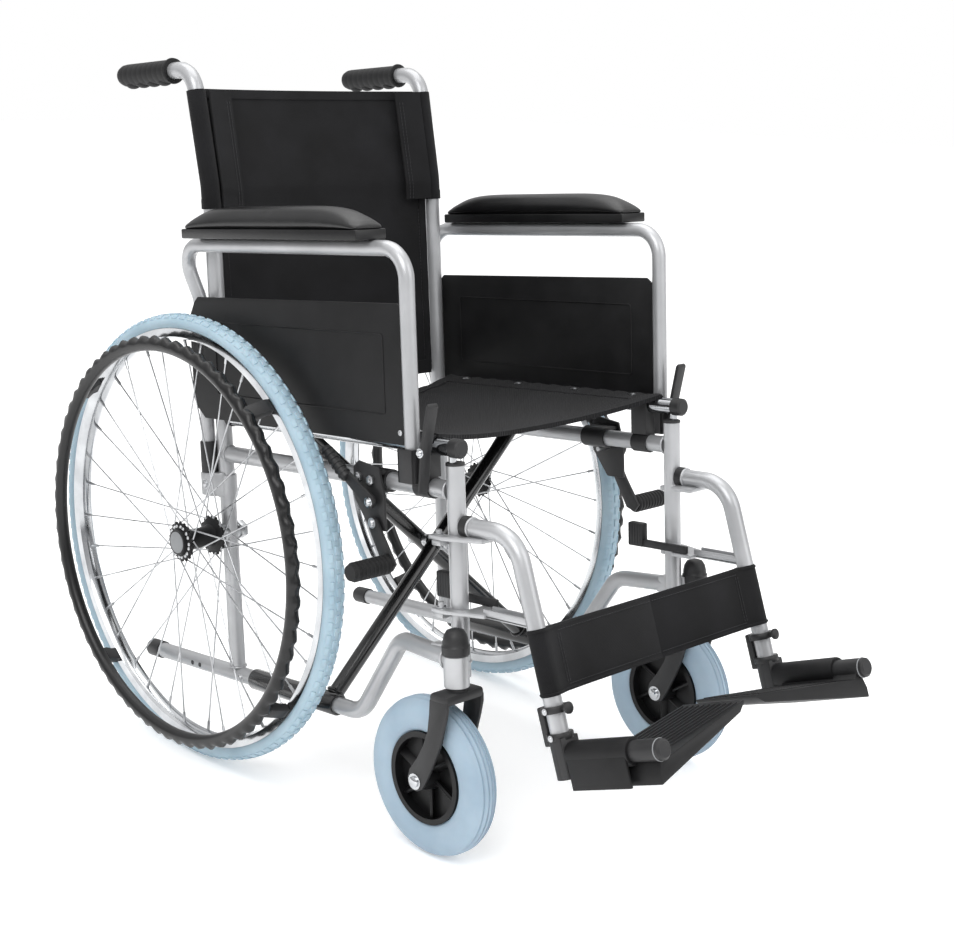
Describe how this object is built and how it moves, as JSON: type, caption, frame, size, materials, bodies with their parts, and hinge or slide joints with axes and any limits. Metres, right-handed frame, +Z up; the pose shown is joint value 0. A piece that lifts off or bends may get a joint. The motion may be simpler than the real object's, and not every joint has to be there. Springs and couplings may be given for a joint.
{
  "type": "manual wheelchair",
  "caption": "Folding manual wheelchair with a tubular frame, cross brace, fabric seat and back, spoked rear wheels with handrims, castors, armrests, brakes and swing-away footrests.",
  "frame": {"origin": "middle of the bounding box, on the ground", "axes": "+Z up, +X to the occupant's left, front towards -Y, the plane X = 0 between the two side frames"},
  "size_m": [0.623, 1.0816, 0.9345],
  "materials": {
    "frame_silver": "silver enamel",
    "chrome": "polished",
    "brace_black": "gloss black",
    "black_plastic": "satin moulded",
    "cloth": "woven nylon",
    "vinyl": "grained vinyl",
    "tyre": "light blue solid tyre",
    "castor_tyre": "pale blue-grey"
  },
  "bodies": {
    "right_frame": {"right_back_frame": "frame_silver", "right_push_grip": "black_plastic", "right_lower_frame": "frame_silver", "right_axle": "chrome", "right_rear_arm_socket": "frame_silver", "right_front_arm_socket": "black_plastic", "right_brake_bracket": "black_plastic", "back_sling": "cloth"},
    "left_frame": {"left_back_frame": "frame_silver", "left_push_grip": "black_plastic", "left_lower_frame": "frame_silver", "left_axle": "chrome", "left_rear_arm_socket": "frame_silver", "left_front_arm_socket": "black_plastic", "left_brake_bracket": "black_plastic"},
    "brace_a": {"brace_front": "brace_black", "brace_pivot": "chrome", "left_seat_rail": "chrome", "seat_sling": "cloth"},
    "brace_b": {"brace_rear": "brace_black", "right_seat_rail": "chrome"},
    "right_wheel": {"right_tyre": "tyre", "right_rim": "chrome", "right_wheel_hub": "black_plastic", "right_handrim": "black_plastic"},
    "right_castor_fork": {"right_castor_fork": "black_plastic"},
    "right_castor_wheel": {"right_castor_tyre": "castor_tyre", "right_castor_hub": "black_plastic"},
    "right_armrest": {"right_armrest_tube": "frame_silver", "right_arm_pad": "vinyl", "right_skirt_guard": "black_plastic"},
    "right_arm_lever": {"right_arm_lever": "black_plastic"},
    "right_brake_lever": {"right_brake_lever": "black_plastic"},
    "right_brake_shoe": {"right_brake_shoe": "black_plastic"},
    "right_hanger_latch": {"right_hanger_latch": "black_plastic"},
    "right_foot_bracket": {"right_foot_bracket": "black_plastic"},
    "right_foot_tube": {"right_foot_tube": "black_plastic"},
    "right_footplate": {"right_footplate": "black_plastic"},
    "right_hanger": {"right_hanger": "frame_silver", "right_calf_strap": "cloth"},
    "left_wheel": {"left_tyre": "tyre", "left_rim": "chrome", "left_wheel_hub": "black_plastic", "left_handrim": "black_plastic"},
    "left_castor_fork": {"left_castor_fork": "black_plastic"},
    "left_castor_wheel": {"left_castor_tyre": "castor_tyre", "left_castor_hub": "black_plastic"},
    "left_armrest": {"left_armrest_tube": "frame_silver", "left_arm_pad": "vinyl", "left_skirt_guard": "black_plastic"},
    "left_arm_lever": {"left_arm_lever": "black_plastic"},
    "left_brake_lever": {"left_brake_lever": "black_plastic"},
    "left_brake_shoe": {"left_brake_shoe": "black_plastic"},
    "left_hanger_latch": {"left_hanger_latch": "black_plastic"},
    "left_foot_bracket": {"left_foot_bracket": "black_plastic"},
    "left_foot_tube": {"left_foot_tube": "black_plastic"},
    "left_footplate": {"left_footplate": "black_plastic"},
    "left_hanger": {"left_hanger": "frame_silver", "left_calf_strap": "cloth"}
  },
  "joints": [
    {"name": "fold", "type": "hinge", "parent": "right_frame", "child": "brace_a", "pos_m": [-0.2, 0.03962, 0.11762], "axis": [0, -0.9966, 0.0829], "range_deg": [0, 34], "deforming": ["back_sling", "seat_sling", "right_calf_strap", "left_calf_strap"]},
    {"name": "scissor", "type": "hinge", "parent": "brace_a", "child": "brace_b", "pos_m": [0, 0.05057, 0.29753], "axis": [0, -0.9966, 0.0829], "range_deg": [-68, 0]},
    {"name": "left_side", "type": "hinge", "parent": "brace_b", "child": "left_frame", "pos_m": [0.2, 0.03962, 0.11762], "axis": [0, -0.9966, 0.0829], "range_deg": [0, 34]},
    {"name": "right_wheel_spin", "type": "hinge", "parent": "right_frame", "child": "right_wheel", "pos_m": [-0.259, 0.23583, 0.305], "axis": [1, 0, 0], "continuous": true},
    {"name": "right_castor_swivel", "type": "hinge", "parent": "right_frame", "child": "right_castor_fork", "pos_m": [-0.225, -0.24366, 0.23451], "axis": [0, 0.0829, 0.9966], "continuous": true},
    {"name": "right_castor_spin", "type": "hinge", "parent": "right_castor_fork", "child": "right_castor_wheel", "pos_m": [-0.225, -0.20769, 0.1], "axis": [1, 0, 0], "continuous": true},
    {"name": "right_armrest_lift", "type": "slide", "parent": "right_frame", "child": "right_armrest", "axis": [0, 0.0829, 0.9966], "range_m": [0, 0.1]},
    {"name": "right_arm_lever_turn", "type": "hinge", "parent": "right_frame", "child": "right_arm_lever", "pos_m": [-0.228, -0.18466, 0.49752], "axis": [1, 0, 0], "range_deg": [-9, 0]},
    {"name": "right_brake_lever_turn", "type": "hinge", "parent": "right_frame", "child": "right_brake_lever", "pos_m": [-0.23, -0.0928, 0.41964], "axis": [1, 0, 0], "range_deg": [0, 60]},
    {"name": "right_brake_shoe_turn", "type": "hinge", "parent": "right_frame", "child": "right_brake_shoe", "pos_m": [-0.23, -0.09304, 0.39257], "axis": [1, 0, 0], "range_deg": [0, 48]},
    {"name": "right_hanger_swing", "type": "hinge", "parent": "right_frame", "child": "right_hanger", "pos_m": [-0.216, -0.20183, 0.35144], "axis": [0, -0.0829, -0.9966], "range_deg": [0, 90]},
    {"name": "right_latch_turn", "type": "hinge", "parent": "right_hanger", "child": "right_hanger_latch", "pos_m": [-0.178, -0.25456, 0.32071], "axis": [0, -0.0829, -0.9966], "range_deg": [0, 15]},
    {"name": "right_leg_length", "type": "slide", "parent": "right_hanger", "child": "right_foot_bracket", "axis": [0, 0.3485, 0.9373], "range_m": [-0.03, 0]},
    {"name": "right_foot_tube_turn", "type": "hinge", "parent": "right_foot_bracket", "child": "right_foot_tube", "pos_m": [-0.196, -0.4081, 0.18301], "axis": [0, -0.9373, 0.3485], "range_deg": [0, 110]},
    {"name": "right_footplate_flip", "type": "hinge", "parent": "right_foot_tube", "child": "right_footplate", "pos_m": [-0.196, -0.4081, 0.18301], "axis": [0, 0.9373, -0.3485], "range_deg": [-80, 0]},
    {"name": "left_wheel_spin", "type": "hinge", "parent": "left_frame", "child": "left_wheel", "pos_m": [0.259, 0.23583, 0.305], "axis": [1, 0, 0], "continuous": true},
    {"name": "left_castor_swivel", "type": "hinge", "parent": "left_frame", "child": "left_castor_fork", "pos_m": [0.225, -0.24366, 0.23451], "axis": [0, 0.0829, 0.9966], "continuous": true},
    {"name": "left_castor_spin", "type": "hinge", "parent": "left_castor_fork", "child": "left_castor_wheel", "pos_m": [0.225, -0.20769, 0.1], "axis": [1, 0, 0], "continuous": true},
    {"name": "left_armrest_lift", "type": "slide", "parent": "left_frame", "child": "left_armrest", "axis": [0, 0.0829, 0.9966], "range_m": [0, 0.1]},
    {"name": "left_arm_lever_turn", "type": "hinge", "parent": "left_frame", "child": "left_arm_lever", "pos_m": [0.228, -0.18466, 0.49752], "axis": [1, 0, 0], "range_deg": [-9, 0]},
    {"name": "left_brake_lever_turn", "type": "hinge", "parent": "left_frame", "child": "left_brake_lever", "pos_m": [0.23, -0.0928, 0.41964], "axis": [1, 0, 0], "range_deg": [0, 60]},
    {"name": "left_brake_shoe_turn", "type": "hinge", "parent": "left_frame", "child": "left_brake_shoe", "pos_m": [0.23, -0.09304, 0.39257], "axis": [1, 0, 0], "range_deg": [0, 48]},
    {"name": "left_hanger_swing", "type": "hinge", "parent": "left_frame", "child": "left_hanger", "pos_m": [0.216, -0.20183, 0.35144], "axis": [0, 0.0829, 0.9966], "range_deg": [0, 90]},
    {"name": "left_latch_turn", "type": "hinge", "parent": "left_hanger", "child": "left_hanger_latch", "pos_m": [0.178, -0.25456, 0.32071], "axis": [0, 0.0829, 0.9966], "range_deg": [0, 15]},
    {"name": "left_leg_length", "type": "slide", "parent": "left_hanger", "child": "left_foot_bracket", "axis": [0, 0.3485, 0.9373], "range_m": [-0.03, 0]},
    {"name": "left_foot_tube_turn", "type": "hinge", "parent": "left_foot_bracket", "child": "left_foot_tube", "pos_m": [0.196, -0.4081, 0.18301], "axis": [0, 0.9373, -0.3485], "range_deg": [0, 110]},
    {"name": "left_footplate_flip", "type": "hinge", "parent": "left_foot_tube", "child": "left_footplate", "pos_m": [0.196, -0.4081, 0.18301], "axis": [0, -0.9373, 0.3485], "range_deg": [-80, 0]}
  ],
  "couplings": [
    {"joint": "scissor", "follows": "fold", "ratio": -2},
    {"joint": "left_side", "follows": "fold", "ratio": 1},
    {"joint": "right_brake_shoe_turn", "follows": "right_brake_lever_turn", "ratio": 0.79},
    {"joint": "right_foot_tube_turn", "follows": "fold", "ratio": 3.2},
    {"joint": "left_brake_shoe_turn", "follows": "left_brake_lever_turn", "ratio": 0.79},
    {"joint": "left_foot_tube_turn", "follows": "fold", "ratio": 3.2}
  ]
}
